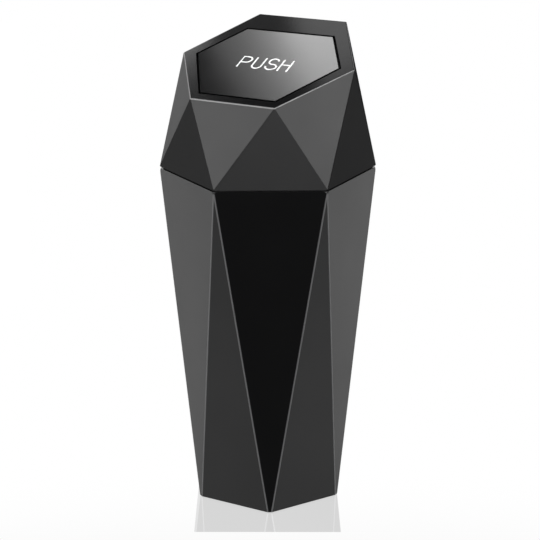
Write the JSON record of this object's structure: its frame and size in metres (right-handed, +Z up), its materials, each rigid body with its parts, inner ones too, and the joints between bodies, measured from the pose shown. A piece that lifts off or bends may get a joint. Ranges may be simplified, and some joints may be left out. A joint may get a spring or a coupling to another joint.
{
  "type": "car trash bin",
  "caption": "Tapering faceted waste bin for a cup holder, with a plug-in cap and a sprung flap that swings inwards.",
  "frame": {"origin": "middle of the base, on the surface that the bin stands on", "axes": "+Z up, +X across, and the lid slopes down towards -Y, the side that the user faces"},
  "size_m": [0.0792, 0.0898, 0.2],
  "materials": {
    "bin": "satin black moulding",
    "cap": "satin black moulding",
    "flap": "satin black moulding",
    "pin": "drawn bright",
    "spring": "drawn, lightly oiled"
  },
  "bodies": {
    "bin": {"bin_body": "bin"},
    "cap": {"cap_shell": "cap", "hinge_pin": "pin", "return_spring": "spring"},
    "flap": {"push_flap": "flap"}
  },
  "joints": [
    {"name": "cap_lift", "type": "slide", "parent": "bin", "child": "cap", "axis": [0, 0, 1], "range_m": [0, 0.03]},
    {"name": "flap_swing", "type": "hinge", "parent": "cap", "child": "flap", "pos_m": [0, 0.02473, 0.19134], "axis": [1, 0, 0], "range_deg": [0, 45], "stiffness_Nm_per_rad": 0.01, "springref_deg": -45.84, "deforming": ["return_spring"]}
  ]
}
